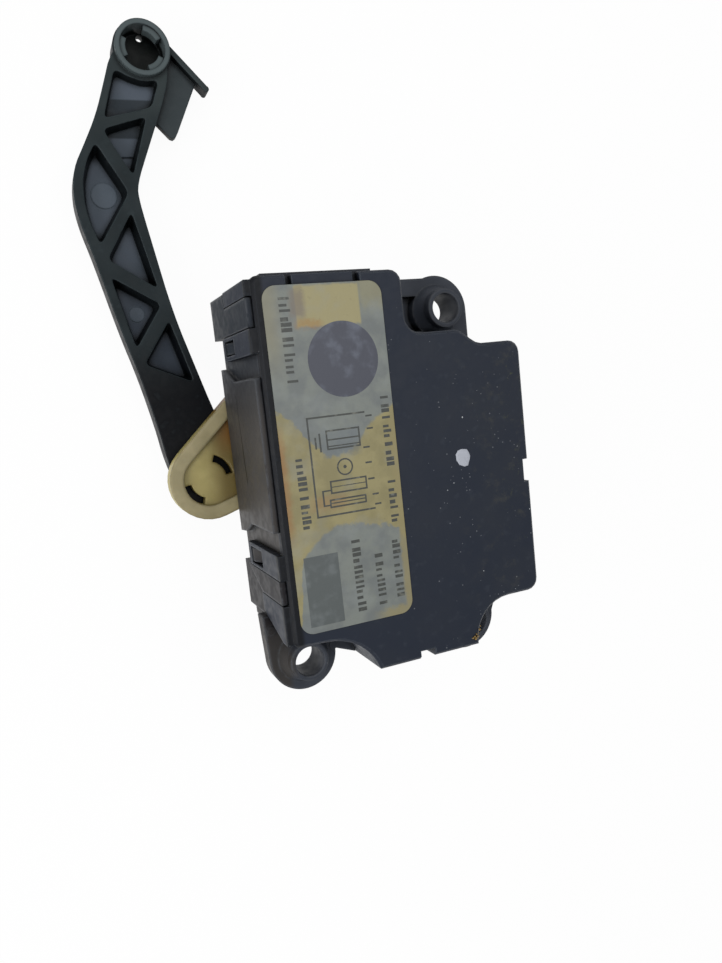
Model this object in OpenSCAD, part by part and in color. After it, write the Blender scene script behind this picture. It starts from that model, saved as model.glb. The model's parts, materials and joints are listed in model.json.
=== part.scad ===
// Intake flap actuator: a stepping motor and a reduction train in a moulded case, with an
// output crank under the case and a long link rod that reaches the flap.
// The origin is the centre of the datum screw hole on the mounting plane. +Z points out of
// the cover, +Y runs up the length of the case and +X across it.

/* [Case] */
// Left face of the case wall
case_left = -4.6; // [-4.8:0.1:-4.4]
// Right face of the case wall
case_right = 45.7; // [45.4:0.1:46]
// Top end of the case
case_top = 68.7; // [68.4:0.1:69]
// Thickness of the case walls and floor
wall = 1.8; // [1.6:0.1:2]
// Outside of the floor below the mounting plane
case_floor = -10.6; // [-11:0.1:-10.4]
// Height of the relief panels on the left wall
panel_h = 1.3; // [1.2:0.05:1.3]

/* [Cover] */
// Outer face of the cover above the mounting plane
cover_top = 15.4; // [15.2:0.1:15.6]
// Thickness of the cover plate
cover_t = 2; // [1.8:0.1:2]
// Bevel along the cover's edge
cover_bevel = 0.5; // [0.3:0.1:0.7]
// Thickness of the latch straps and corner skirts
strap_t = 1.2; // [1.1:0.05:1.2]

/* [Mounting ears] */
// Distance across the case between the screw holes
hole_dx = 35.2; // [35.1:0.1:35.3]
// Distance up the case between the screw holes
hole_dy = 62.2; // [62:0.1:62.4]
// Radius of the screw holes
hole_r = 2.8; // [2.7:0.05:2.9]
// Height of the screw bosses
boss_h = 7.4; // [7:0.1:7.8]
// Thickness of the ears beside the bosses
ear_t = 3.4; // [3:0.1:3.8]

/* [Connector] */
// Middle of the connector across the case
plug_x = 7.75; // [7.7:0.05:7.8]
// Width of the plug cavity
plug_w = 17.2; // [17:0.1:17.3]
// Height of the plug cavity
plug_h = 10; // [9.8:0.1:10.2]
// Number of terminals
pin_count = 6; // [4:1:6]

/* [Gear train] */
// Teeth of the motor pinion
motor_teeth = 12; // [12:1:12]
// Teeth of the small gears on the cluster gears
pinion_teeth = 10; // [10:1:10]
// Teeth of the first cluster gear
first_teeth = 48; // [48:1:48]
// Teeth of the second and third cluster gears
second_teeth = 50; // [50:1:50]
// Teeth of the output gear
output_teeth = 30; // [30:1:30]
// Play between the flanks of two teeth
tooth_play = 0.1; // [0.08:0.01:0.12]
// Radius of the fixed steel axles
axle_r = 0.75; // [0.7:0.05:0.75]
// Radial clearance of every gear on its axle
running_gap = 0.05; // [0.03:0.01:0.08]

/* [Motor] */
// Outer radius of the motor can
can_r = 14.3; // [14.2:0.1:14.5]
// Height of the motor can
can_h = 13; // [12.8:0.1:13]
// Claw poles on each stator plate
claws = 6; // [4:1:6]

/* [Crank] */
// Distance from the output axis to the rod's pin
crank_len = 21; // [20.5:0.1:21.5]
// Direction of the crank at rest
crank_angle = 210; // [205:1:215]
// Radius of the crank's round hub
crank_hub_r = 12.4; // [12:0.1:12.6]
// Radius of the crank's round end
crank_end_r = 7.8; // [7.6:0.1:8]
// Thickness of the crank
crank_t = 3.4; // [3.2:0.1:3.5]

/* [Link rod] */
// Distance from the crank pin to the flap socket
rod_len = 81.8; // [81:0.1:82.5]
// Turn of the rod at rest, from the length of the case
rod_angle = 1; // [0:0.5:2]
// Thickness of the rod
rod_t = 4.8; // [4.6:0.1:5]
// Outer radius of the flap socket
socket_r = 5.05; // [5:0.05:5.1]

/* [Label] */
// Width of the label
label_w = 21.5; // [21:0.1:21.5]
// Length of the label
label_l = 59.3; // [59:0.1:59.5]

/* [Hidden] */
$fn = 64;

black = [0.2, 0.22, 0.25];
cream = [0.68, 0.62, 0.44];

// Levels through the case
floor_top = case_floor + wall + 0.2;
cover_in = cover_top - cover_t;
wall_top = cover_in;
panel_top = cover_top - 1;
bearing_low = case_floor - 1;
crank_top = bearing_low - 0.2;
rod_top = crank_top - crank_t - 0.3;

// Cut-outs of the case outline round the screw bosses
datum_cut = [0.9, -4.9];
datum_cut_r = 10.4;
right_cut = [38.9, -1.2];
right_cut_r = 7.5;
top_cut_x = 22.4;
top_cut_y = 57.45;
shoulder_x = 37.6;
shoulder_y = 54.65;
bottom_left_y = 5.7;
bottom_y = -1.8;
bottom_right_y = 6.3;

function arc(c, r, a0, a1, n) =
    [for (i = [0:n]) let (a = a0 + (a1 - a0) * i / n) c + r * [cos(a), sin(a)]];

// A corner of radius r at the sharp point p; s points from p towards the arc's centre
function corner(p, s, r, a0) = arc(p + r * s, r, a0, a0 + 90, 4);

// Outline of the case, moved inwards by d, anticlockwise from its bottom left corner
function case_outline(d, left = case_left) =
    let (
        xl = left + d,
        xr = case_right - d,
        yt = case_top - d,
        small = max(1 - d, 0.2),
        big = max(2.2 - d, 0.3)
    )
    concat(
        corner([xl, bottom_left_y + d], [1, 1], small, 180),
        arc(datum_cut, datum_cut_r + d, 90,
            asin((bottom_y + d - datum_cut.y) / (datum_cut_r + d)), 8),
        arc(right_cut, right_cut_r + d,
            180 - asin((bottom_y + d - right_cut.y) / (right_cut_r + d)), 90, 8),
        corner([xr, bottom_right_y + d], [-1, 1], big, 270),
        corner([xr, shoulder_y - d], [-1, -1], big, 0),
        [for (i = [0:5])
            [shoulder_x - d / 2 - (shoulder_x - 32.15) * i / 5,
             shoulder_y - d + (top_cut_y - shoulder_y) * (1 - cos(36 * i)) / 2]],
        arc([top_cut_x + 3, top_cut_y + 3], 3 + d, 270, 180, 5),
        corner([top_cut_x - d, yt], [-1, -1], big, 0),
        corner([xl, yt], [1, -1], small, 90)
    );

function lift(points, z) = [for (p = points) [p.x, p.y, z]];

// Closed band that runs round the case through rings of equal length: up the outside,
// across and down the inside
module band(rings) {
    n = len(rings[0]);
    m = len(rings);
    polyhedron(
        points = [for (r = rings) each r],
        faces = [for (k = [0:m - 1], i = [0:n - 1])
            let (above = (k + 1) % m * n, next = (i + 1) % n)
            [k * n + i, above + i, above + next, k * n + next]]
    );
}

// Solid of the case outline, moved inwards by d, between two levels
module slab(d, z0, z1, left = case_left) {
    translate([0, 0, z0]) linear_extrude(z1 - z0) polygon(case_outline(d, left));
}

// A profile drawn over Y and Z, thickened along X from x0
module side_plate(x0, t, points) {
    translate([x0, 0, 0]) rotate([90, 0, 90]) linear_extrude(t) polygon(points);
}

module tube(r_out, r_in, z0, z1) {
    translate([0, 0, z0]) difference() {
        cylinder(r = r_out, h = z1 - z0);
        translate([0, 0, -1]) cylinder(r = r_in, h = z1 - z0 + 2);
    }
}

module disc(r, z0, z1) {
    translate([0, 0, z0]) cylinder(r = r, h = z1 - z0);
}

function polar(c, r, a) = c + r * [cos(a), sin(a)];

// Gear centres, from the output axis back to the motor
first_m = 0.35;
second_m = 0.4;
third_m = 0.45;
output_m = 0.6;
output_at = [8.1, 44.5];
out_to_third = -80;
third_to_second = 0;
second_to_first = -62;
first_to_motor = 215;
third_at = polar(output_at, output_m * (pinion_teeth + output_teeth) / 2, out_to_third);
second_at = polar(third_at, third_m * (pinion_teeth + second_teeth) / 2, third_to_second);
first_at = polar(second_at, second_m * (pinion_teeth + second_teeth) / 2, second_to_first);
motor_at = polar(first_at, first_m * (motor_teeth + first_teeth) / 2, first_to_motor);
screw_places = [for (a = [0, 180]) polar(motor_at, can_r + 2.2, a)];

// Turn that puts a gear of z2 teeth in mesh with one of z1 teeth, which stands at turn t1,
// when the line from the first to the second points at angle a
function mesh_turn(a, t1, z1, z2) = a + 180 + 180 / z2 - (t1 - a) * z1 / z2;
first_turn = mesh_turn(first_to_motor + 180, 0, motor_teeth, first_teeth);
second_turn = mesh_turn(second_to_first + 180, first_turn, pinion_teeth, second_teeth);
third_turn = mesh_turn(third_to_second + 180, second_turn, pinion_teeth, second_teeth);
output_turn = mesh_turn(out_to_third + 180, third_turn, pinion_teeth, output_teeth);

// Involute teeth: half of a tooth's angle at radius r
pressure = 20;
function involute(a) = tan(a) * 180 / PI - a;
function half_tooth(z, m, r) =
    let (pitch_r = m * z / 2, base_r = pitch_r * cos(pressure))
    90 / z - tooth_play / 4 / pitch_r * 180 / PI + involute(pressure)
        - (r > base_r ? involute(acos(base_r / r)) : 0);
function flank_radii(z, m) =
    let (pitch_r = m * z / 2, root_r = pitch_r - 1.2 * m)
    [root_r, max(pitch_r * cos(pressure), root_r + 0.05), pitch_r + m];

module gear_outline(z, m) {
    radii = flank_radii(z, m);
    polygon([
        for (i = [0:z - 1], side = [-1, 1], k = [0:2])
            let (r = radii[side < 0 ? k : 2 - k], a = 360 * i / z + side * half_tooth(z, m, r))
            [r * cos(a), r * sin(a)]
    ]);
}

module gear(z, m, z0, z1) {
    translate([0, 0, z0]) linear_extrude(z1 - z0) gear_outline(z, m);
}

// Levels of the gear train
output_z = [floor_top + 0.4, floor_top + 5.2];
can_top = floor_top + can_h;
plate_top = can_top + 0.8;
third_z = [plate_top + 0.5, plate_top + 2.5];
second_z = [third_z[1] + 0.5, third_z[1] + 2.3];
first_z = [second_z[1] + 0.5, second_z[1] + 2.1];

// Hub of a cluster gear: its webbed wheel, its pinion and the sleeve between
module cluster(wheel_teeth, wheel_m, wheel_z, small_m, small_z, sleeve_z) {
    rim_r = wheel_m * wheel_teeth / 2 - 2.4 * wheel_m;
    web_in = (wheel_z[1] - wheel_z[0]) * 0.3;
    difference() {
        union() {
            difference() {
                gear(wheel_teeth, wheel_m, wheel_z[0], wheel_z[1]);
                tube(rim_r, 2.6, wheel_z[1] - web_in, wheel_z[1] + 1);
                tube(rim_r, 2.6, wheel_z[0] - 1, wheel_z[0] + web_in);
            }
            gear(pinion_teeth, small_m, small_z[0], small_z[1]);
            disc(1.35, sleeve_z[0], sleeve_z[1]);
        }
        disc(axle_r + running_gap, -20, 20);
    }
}

// Case: floor and walls

left_face = case_left - panel_h;
latch_upper = [56.2, 60.35];
latch_lower = [17.75, 22.1];
bearing_r = 5.05;
foot_bevel = 0.7;

boss_r = hole_r + 0.9;

module ear(at, radius, inner) {
    difference() {
        union() {
            linear_extrude(ear_t) union() {
                translate(at) circle(r = radius);
                polygon(inner);
            }
            translate(at) cylinder(r = boss_r, h = boss_h);
            translate([at.x, at.y, ear_t - 0.1]) cylinder(r1 = 5, r2 = boss_r - 0.1, h = 2.2);
        }
        translate([at.x, at.y, -1]) cylinder(r = hole_r, h = boss_h + 2);
    }
}

// Lightening pocket of an ear, between its boss and the case
module ear_pocket(at, from, to) {
    translate([0, 0, 1.2]) difference() {
        translate([from.x, from.y, 0]) cube([to.x - from.x, to.y - from.y, ear_t]);
        translate([at.x, at.y, -1]) cylinder(r = 5.1, h = ear_t + 2);
    }
}

module ears() {
    ear([0, 0], 6.5, [[-6.5, 0], [6.5, 0], [10.5, -1.6], [10.5, 7], [case_left, 9],
        [case_left - 2.3, 8.9]]);
    // marks of the ejector pins
    for (at = [[-5.6, 6.0], [6.2, 0.7]]) translate(at) disc(0.85, ear_t - 0.1, ear_t + 0.12);
    difference() {
        ear([hole_dx, 0], 6.6, [[hole_dx - 6.6, 0], [hole_dx + 6.6, 0],
            [hole_dx + 7.4, 2], [hole_dx + 7.4, 8], [hole_dx - 7.1, 8]]);
        ear_pocket([hole_dx, 0], [hole_dx - 3, 3.6], [hole_dx + 6, 5.9]);
    }
    difference() {
        ear([hole_dx, hole_dy], 6.7, [[22, hole_dy + 6.3], [22, 54], [hole_dx + 6.7, 54],
            [hole_dx + 6.7, hole_dy], [hole_dx, hole_dy + 6.3]]);
        ear_pocket([hole_dx, hole_dy], [top_cut_x + 3.2, top_cut_y + 1], [hole_dx, hole_dy + 3]);
    }
}

// Relief panels between the cover's straps and skirts, with the crease below the middle one
module left_panels() {
    x0 = left_face;
    t = panel_h + 0.4;
    side_plate(x0, t, [[60.55, case_floor], [65.4, case_floor], [65.4, panel_top],
        [60.55, panel_top]]);
    side_plate(x0, t, [[65.4, case_floor], [68, case_floor], [68, -0.4], [65.4, -0.4]]);
    side_plate(x0, t, [[26, 0.4], [52.3, 0.4], [52.3, panel_top], [26, panel_top]]);
    translate([x0 + 0.03, 0, 0.4]) rotate([0, -2.2, 0]) translate([-x0, 0, -0.4])
        side_plate(x0, t, [[23.4, case_floor + 0.1], [55, case_floor + 0.1], [55, -8.7],
            [52.1, 0.7], [26.2, 0.7], [23.9, -5.1]]);
    side_plate(x0, t, [[13.4, panel_top], [13.4, 2.2], [17.55, -5.9], [17.55, panel_top]]);
    side_plate(x0 + 0.5, t - 0.5, [[8.6, case_floor], [17.55, case_floor], [17.55, -6.6],
        [13.4, 1.6], [8.6, 1.6]]);
}

// Wedge that snaps into the window of a cover strap
module catch(y0, y1, z0, z1) {
    translate([0, y1, 0]) rotate([90, 0, 0]) linear_extrude(y1 - y0)
        polygon([[case_left + 0.4, z0], [left_face + 0.15, z0], [left_face + 0.15, z0 + 1],
            [case_left + 0.4, z1]]);
}

plug_top = 11;
plug_back = 58;
plug_mouth = 69.4;
plug_wall = 1.5;

module connector_shroud() {
    w = plug_w + 2 * plug_wall;
    h = plug_h + 2 * plug_wall;
    difference() {
        union() {
            translate([plug_x - w / 2, plug_back - 3, plug_top - plug_h - plug_wall])
                cube([w, plug_mouth - plug_back + 3, h]);
            translate([case_left + 1, plug_back - 3, plug_top - plug_h - plug_wall])
                cube([2, case_top - plug_back + 2, h]);
        }
        translate([plug_x - plug_w / 2, plug_back - 4, plug_top - plug_h])
            cube([plug_w, plug_mouth - plug_back + 5, plug_h]);
    }
}

// Ribs inside the plug cavity that let only the right plug in
module coding_ribs() {
    for (side = [-1, 1])
        translate([plug_x + side * (plug_w / 2 - 0.2) - 0.3, plug_back, plug_top - plug_h + 3])
            cube([0.6, plug_mouth - plug_back - 1, 1]);
}

module base_housing() color(black) {
    difference() {
        union() {
            difference() {
                slab(0, case_floor + foot_bevel, wall_top);
                slab(wall, floor_top, cover_top);
            }
            band([lift(case_outline(foot_bevel), case_floor),
                lift(case_outline(0), case_floor + foot_bevel),
                lift(case_outline(wall), case_floor + foot_bevel),
                lift(case_outline(wall), case_floor)]);
            slab(wall, case_floor, case_floor + foot_bevel + 0.2);
            connector_shroud();
            difference() {
                left_panels();
                translate([case_left - 0.25, -20, cover_in]) cube([60, 120, 9]);
            }
            catch(57.3, 59.4, -2.7, 2.6);
            catch(18.5, 21.1, -2.4, 3.9);
            difference() {
                ears();
                translate([0, 0, -1]) linear_extrude(boss_h + 2) polygon(case_outline(0.3));
            }
            translate(output_at) disc(7.4, bearing_low, floor_top);
            translate(second_at) disc(1.3, case_floor + 1, plate_top);
            translate(third_at) disc(1.3, case_floor + 1, floor_top + 0.3);
            for (at = screw_places) translate(at) disc(2, case_floor + 1, can_top);
        }
        translate([plug_x - plug_w / 2, plug_back - 2, plug_top - plug_h])
            cube([plug_w, 20, plug_h]);
        translate([18.9, bottom_y - 1, wall_top - 2.6]) cube([3, 2.2, 4]);
        translate([case_right - 1, 27.7, wall_top - 2.6]) cube([2, 4.3, 4]);
        translate(output_at) disc(bearing_r, -20, 0);
        translate(second_at) disc(axle_r, case_floor + 1.4, 20);
        translate(third_at) disc(axle_r, case_floor + 0.8, 20);
        for (at = screw_places) translate(at) disc(0.8, floor_top + 4, 20);
    }
    color(black) coding_ribs();
}

// Cover: bevelled plate, corner skirts, latch straps and the tongue over the plug
module cover() color(black) {
    edge = case_left - 0.2;
    difference() {
        union() {
            band([lift(case_outline(0, edge), cover_in),
                lift(case_outline(0, edge), cover_top - cover_bevel),
                lift(case_outline(cover_bevel, edge), cover_top),
                lift(case_outline(1.2, edge), cover_top),
                lift(case_outline(1.2, edge), cover_in)]);
            slab(1.2, cover_in, cover_top, edge);
            difference() {
                slab(wall + 0.15, cover_in - 1.2, cover_in + 0.2);
                slab(wall + 1.4, cover_in - 2, cover_in + 2);
            }
            for (band = [latch_upper, latch_lower])
                translate([left_face, band[0], -4.4])
                    cube([strap_t, band[1] - band[0], cover_top - 0.3 + 4.4]);
            side_plate(left_face, strap_t, [[65.6, -0.2], [68.2, -0.2], [68.2, cover_top - 0.6],
                [65.6, cover_top - 0.6]]);
            side_plate(left_face, strap_t, [[9.8, 1.8], [13.2, 1.8], [13.2, cover_top - 0.6],
                [6.2, cover_top - 0.6], [6.2, 12.4]]);
        }
        translate([left_face - 1, 57, -3]) cube([4, 2.7, 6.6]);
        translate([left_face - 1, 18.2, -2.7]) cube([4, 3.2, 7.4]);
        for (x = [plug_x - 6.7, plug_x + 5.5])
            translate([x, case_top - 3.2, cover_in - 2]) cube([1.2, 5, 6]);
        translate([plug_x - 5.5, case_top - 3.2, cover_top - 0.4]) cube([11, 5, 2]);
        translate([plug_x - 11, plug_back - 5, cover_in - 3]) cube([22, 16, 3]);
        translate([case_right - 1.35, 27.7, cover_in - 2]) cube([3, 4.3, 6]);
        translate([18.9, bottom_y - 1, cover_in - 2]) cube([3, 2.5, 6]);
        for (at = [first_at, second_at, third_at])
            translate(at) disc(axle_r, cover_in - 1, cover_in + 1);
    }
}

module label() color([0.72, 0.72, 0.62]) {
    r = 2.4;
    at = [7.4, 37.3];
    translate([at.x, at.y, cover_top]) linear_extrude(0.12) union() {
        square([label_w - 2 * r, label_l], center = true);
        square([label_w, label_l - 2 * r], center = true);
        for (x = [-1, 1], y = [-1, 1])
            translate([x * (label_w / 2 - r), y * (label_l / 2 - r)]) circle(r = r);
    }
}

// Plug side: carrier, blade terminals and the wires to the motor
pin_pitch = 2.5;
pin_z = 6;
function pin_x(i) = plug_x + (i - (pin_count - 1) / 2) * pin_pitch;

module terminal_carrier() color([0.15, 0.15, 0.16]) {
    difference() {
        translate([plug_x - plug_w / 2, plug_back - 3, plug_top - plug_h])
            cube([plug_w, 3, plug_h]);
        for (i = [0:pin_count - 1])
            translate([pin_x(i) - 0.4, plug_back - 4, pin_z - 0.4]) cube([0.8, 5, 0.8]);
    }
}

module terminals() color([0.8, 0.7, 0.4]) {
    for (i = [0:pin_count - 1]) translate([pin_x(i) - 0.4, 0, pin_z - 0.4]) {
        translate([0, plug_back - 4.5, 0]) cube([0.8, 10.2, 0.8]);
        translate([0.4, plug_back + 5.7, 0.4]) rotate([-90, 0, 0])
            cylinder(r1 = 0.4, r2 = 0.2, h = 0.8);
    }
}

block_at = [28.6, 30.4];
block_w = 8;
wire_r = 0.45;
wire_pitch = 1.2;

module motor_terminal_block() color([0.85, 0.85, 0.8]) {
    difference() {
        translate([block_at.x - 0.5, block_at.y - 4, floor_top + 2]) cube([block_w, 4, 13.6]);
        translate(motor_at) disc(can_r + 0.02, -20, 20);
    }
}

// Each wire runs straight down from its terminal, turns right in its own lane and then
// down to the motor's terminal block
module lead_wires() color([0.5, 0.1, 0.1]) {
    for (i = [0:pin_count - 1]) {
        lane_y = 45.6 + wire_pitch * i;
        lane_x = block_at.x + 0.4 + wire_pitch * i;
        start_y = plug_back - 4.5;
        z = pin_z;
        translate([pin_x(i), lane_y, z]) rotate([-90, 0, 0])
            cylinder(r = wire_r, h = start_y - lane_y);
        translate([pin_x(i), lane_y, z]) sphere(r = wire_r);
        translate([pin_x(i), lane_y, z]) rotate([0, 90, 0])
            cylinder(r = wire_r, h = lane_x - pin_x(i));
        translate([lane_x, lane_y, z]) sphere(r = wire_r);
        translate([lane_x, block_at.y, z]) rotate([-90, 0, 0])
            cylinder(r = wire_r, h = lane_y - block_at.y);
    }
}

// Motor: two coils with claw poles in a steel can
can_t = 0.7;
bore_r = 6.2;
pole_r = 6.8;
plate_t = 0.7;
coil_h = (can_h - can_t - 2 * plate_t) / 2;
mid_z = floor_top + can_t + coil_h + plate_t;

// Ring of tapered claws that stand up from z0 round the rotor
module claw_ring(z0, h, turn) {
    for (i = [0:claws - 1]) rotate([0, 0, turn + 360 * i / claws])
        translate([bore_r, 0, z0]) rotate([90, 0, 90])
            linear_extrude(pole_r - bore_r)
                polygon([[-1.5, 0], [1.5, 0], [0.7, h], [-0.7, h]]);
}

module motor_can() color([0.6, 0.6, 0.6]) {
    translate(motor_at) {
        difference() {
            disc(can_r, floor_top, can_top);
            disc(can_r - can_t, floor_top + can_t, 20);
            disc(3, -20, 20);
        }
        claw_ring(floor_top + can_t - 0.2, coil_h - 0.1, 0);
    }
}

module motor_plate() color([0.62, 0.62, 0.62]) {
    difference() {
        union() {
            translate(motor_at) disc(can_r, can_top, plate_top);
            for (at = screw_places) translate(at) disc(2, can_top, plate_top);
            translate([motor_at.x - can_r - 2.2, motor_at.y - 2, can_top])
                cube([2 * can_r + 4.4, 4, plate_top - can_top]);
        }
        translate(motor_at) disc(3, -20, 20);
        translate(first_at) disc(axle_r, -20, 20);
        for (at = screw_places) translate(at) disc(1, -20, 20);
    }
    translate(motor_at) mirror([0, 0, 1]) claw_ring(-can_top - 0.2, coil_h - 0.1, 15);
}

module stator_plates() color([0.55, 0.55, 0.55]) {
    translate(motor_at) {
        tube(can_r - can_t, bore_r, mid_z - plate_t, mid_z + plate_t);
        claw_ring(mid_z + plate_t - 0.2, coil_h - 0.1, 45);
        mirror([0, 0, 1]) claw_ring(-mid_z + plate_t - 0.2, coil_h - 0.1, 30);
    }
}

module bobbin(z0) {
    h = coil_h;
    translate(motor_at) {
        tube(pole_r + 0.8, pole_r + 0.2, z0, z0 + h);
        tube(can_r - can_t - 0.1, pole_r + 0.8, z0, z0 + 0.5);
        tube(can_r - can_t - 0.1, pole_r + 0.8, z0 + h - 0.5, z0 + h);
    }
}

module winding(z0) {
    translate(motor_at) tube(can_r - can_t - 0.6, pole_r + 0.8, z0 + 0.5, z0 + coil_h - 0.5);
}

lower_coil = floor_top + can_t;
upper_coil = mid_z + plate_t;
module bobbin_lower() color([0.9, 0.9, 0.85]) bobbin(lower_coil);
module bobbin_upper() color([0.9, 0.9, 0.85]) bobbin(upper_coil);
module winding_lower() color([0.75, 0.4, 0.2]) winding(lower_coil);
module winding_upper() color([0.75, 0.4, 0.2]) winding(upper_coil);

shaft_r = 1;
module bush_lower() color([0.7, 0.5, 0.3])
    translate(motor_at) tube(3, shaft_r + running_gap, floor_top, floor_top + 1.6);
module bush_upper() color([0.7, 0.5, 0.3])
    translate(motor_at) tube(3, shaft_r + running_gap, can_top - 0.8, plate_top + 0.4);

module motor_screws() color([0.7, 0.7, 0.72]) {
    for (at = screw_places) translate(at) {
        disc(0.8, floor_top + 4.5, plate_top);
        difference() {
            disc(1.6, plate_top, plate_top + 1);
            translate([-1.2, -0.2, plate_top + 0.5]) cube([2.4, 0.4, 1]);
            translate([-0.2, -1.2, plate_top + 0.5]) cube([0.4, 2.4, 1]);
        }
    }
}

module axle(at, z0) {
    color([0.75, 0.75, 0.77]) translate(at) disc(axle_r, z0, cover_in + 0.9);
}
module axle_first() axle(first_at, can_top);
module axle_second() axle(second_at, case_floor + 1.5);
module axle_third() axle(third_at, case_floor + 0.9);

// Rotor
magnet_r = bore_r - 0.35;
module rotor_magnet() color([0.2, 0.2, 0.22])
    translate(motor_at) tube(magnet_r, shaft_r, floor_top + 2, can_top - 1.3);
module rotor_shaft() color([0.8, 0.8, 0.82])
    translate(motor_at) disc(shaft_r, floor_top + 0.2, first_z[1] + 0.3);
module motor_pinion() color([0.8, 0.7, 0.4]) {
    translate(motor_at) difference() {
        gear(motor_teeth, first_m, first_z[0] - 0.3, first_z[1] + 0.3);
        disc(shaft_r, -20, 20);
    }
}

// Cluster gears
module first_gear() color("white") translate(first_at) rotate([0, 0, first_turn])
    cluster(first_teeth, first_m, first_z, second_m,
        [second_z[0] - 0.2, first_z[0]], [plate_top + 0.2, second_z[0]]);
module second_gear() color("white") translate(second_at) rotate([0, 0, second_turn])
    cluster(second_teeth, second_m, second_z, third_m,
        [third_z[0] - 0.2, second_z[0]], [plate_top + 0.1, third_z[0]]);
module third_gear() color("white") translate(third_at) rotate([0, 0, third_turn])
    cluster(second_teeth, third_m, third_z, output_m,
        [output_z[0] + 0.1, output_z[1] + 0.3], [output_z[1], third_z[0]]);

// Output gear with its hollow spindle, which turns in the floor and takes the crank's hexagon
hex_r = 3.3;
module output_gear() color("white") {
    translate(output_at) difference() {
        union() {
            rotate([0, 0, output_turn]) difference() {
                gear(output_teeth, output_m, output_z[0], output_z[1]);
                tube(7.4, 5.6, output_z[1] - 1.6, output_z[1] + 1);
            }
            disc(bearing_r - running_gap, crank_top, output_z[0] + 0.1);
        }
        translate([0, 0, crank_top - 1]) rotate([0, 0, crank_angle])
            cylinder(r = hex_r + 0.06, h = output_z[1] - crank_top - 0.5, $fn = 6);
    }
}

// Outline round two circles: r1 at the origin and r2 at distance d along X
function belt(r1, r2, d, n) =
    let (tip = asin((r1 - r2) / d))
    concat(arc([0, 0], r1, 90 - tip, 270 + tip, 2 * n), arc([d, 0], r2, -90 + tip, 90 - tip, n));

crank_at = polar(output_at, crank_len, crank_angle);
pin_r = 3.5;
hook_r = 4.9;
rim_w = 2.7;
rim_h = 1.2;
hook_angles = [10, 190];

module crank_lever() color(cream) {
    translate([output_at.x, output_at.y, 0]) rotate([0, 0, crank_angle]) {
        difference() {
            translate([0, 0, crank_top - crank_t]) linear_extrude(crank_t)
                polygon(belt(crank_hub_r, crank_end_r, crank_len, 14));
            translate([0, 0, crank_top - rim_h]) linear_extrude(5) difference() {
                polygon(belt(crank_hub_r - rim_w, crank_end_r - rim_w, crank_len, 14));
                circle(r = 7.6);
            }
            // windows over the snap hooks
            translate([crank_len, 0, 0]) intersection() {
                tube(hook_r + 0.1, pin_r + 0.1, crank_top - crank_t - 1, 0);
                sectors(32);
            }
        }
        translate([0, 0, crank_top]) cylinder(r = hex_r, h = 6, $fn = 6);
        translate([crank_len, 0, 0]) snap_pin();
    }
}

// Two wedges of space through which the snap hooks are moulded
module sectors(half) {
    for (a = hook_angles) translate([0, 0, -40]) linear_extrude(60)
        polygon([[0, 0], polar([0, 0], 9, a - half), polar([0, 0], 9, a + half)]);
}

// Split snap pin under the crank's end: a hollow stem with two hooks
module snap_pin() {
    z0 = crank_top - crank_t;
    z1 = rod_top - rod_t - 0.2;
    difference() {
        union() {
            disc(pin_r, z1 - 1.6, z0 + 0.5);
            intersection() {
                rotate_extrude() polygon([[0, z1 - 1.6], [pin_r + 0.1, z1 - 1.6],
                    [hook_r, z1 - 0.5], [hook_r, z1], [0, z1]]);
                sectors(30);
            }
        }
        disc(pin_r - 1.5, z1 - 3, z0 - 0.2);
        for (a = hook_angles) rotate([0, 0, a + 45])
            translate([-8, -0.5, z1 - 3]) cube([8, 1, rod_t + 1.6]);
        for (a = hook_angles) rotate([0, 0, a - 45])
            translate([-8, -0.5, z1 - 3]) cube([8, 1, rod_t + 1.6]);
    }
}

// Link rod, drawn along Y from the crank pin, with its open side up
socket = [0, rod_len];

// Bar of width w between two points
module bar(p, q, w) {
    d = q - p;
    translate(p) rotate(atan2(d.y, d.x)) translate([0, -w / 2]) square([norm(d), w]);
}

// Cuts every corner of an open line of points
function soften(p) = [for (i = [0:len(p) - 2]) each
    [p[i] * 0.75 + p[i + 1] * 0.25, p[i] * 0.25 + p[i + 1] * 0.75]];

left_edge = [[-2.5, -4], [-6, 0.5], [-7.2, 5.6], [-7.8, 11], [-9.7, 21.6], [-11.8, 30.1], [-14.6, 44.6],
    [-16.1, 50.8], [-16.5, 55.6], [-15.7, 60.4], [-13.1, 64.8], [-10.2, 70], [-7.8, 76],
    [-5.9, 81], [-1, 86]];
right_edge = [[0, 84], [4.6, 80.5], [3.9, 76], [2.1, 71.6], [-1.6, 63.8], [-4.6, 57.4],
    [-4.7, 54.4], [-3.6, 46.8], [-1.6, 33.1], [1.3, 21.7], [3.6, 12.8], [7, 3.6], [2, -5]];

module rod_outline() {
    circle(r = 6.5);
    polygon(concat(soften(soften(left_edge)), soften(soften(right_edge))));
    translate(socket) circle(r = socket_r + 0.25);
}

// Lightening pockets between the rod's zigzag ribs, as the corners of their openings
pockets = [
    [[-5.6, 78.3], [-3.2, 76.9], [-0.4, 76.1], [2.3, 76.5], [0.3, 71.5], [-8.9, 69.4]],
    [[-9.4, 67.5], [-1, 69.8], [-5.1, 59]],
    [[-11.1, 65.2], [-6.4, 56], [-13, 46.6], [-14.3, 50.7], [-14.7, 54.7], [-14.3, 58.6],
        [-13.1, 62]],
    [[-6.5, 52.5], [-3.7, 37.9], [-12.2, 43.9]],
    [[-12.2, 40.7], [-3.6, 34.9], [-9.5, 26.9]],
    [[-2.6, 31.8], [0.5, 19.4], [-8.5, 23.8]]
];

// Convex polygon, clockwise, moved inwards by d
function inset(q, d) = [for (i = [0:len(q) - 1]) let (
    n = len(q), a = q[i] - q[(i + n - 1) % n], b = q[(i + 1) % n] - q[i],
    u = [a.y, -a.x] / norm(a), v = [b.y, -b.x] / norm(b)) q[i] + d * (u + v) / (1 + u * v)];

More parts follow.
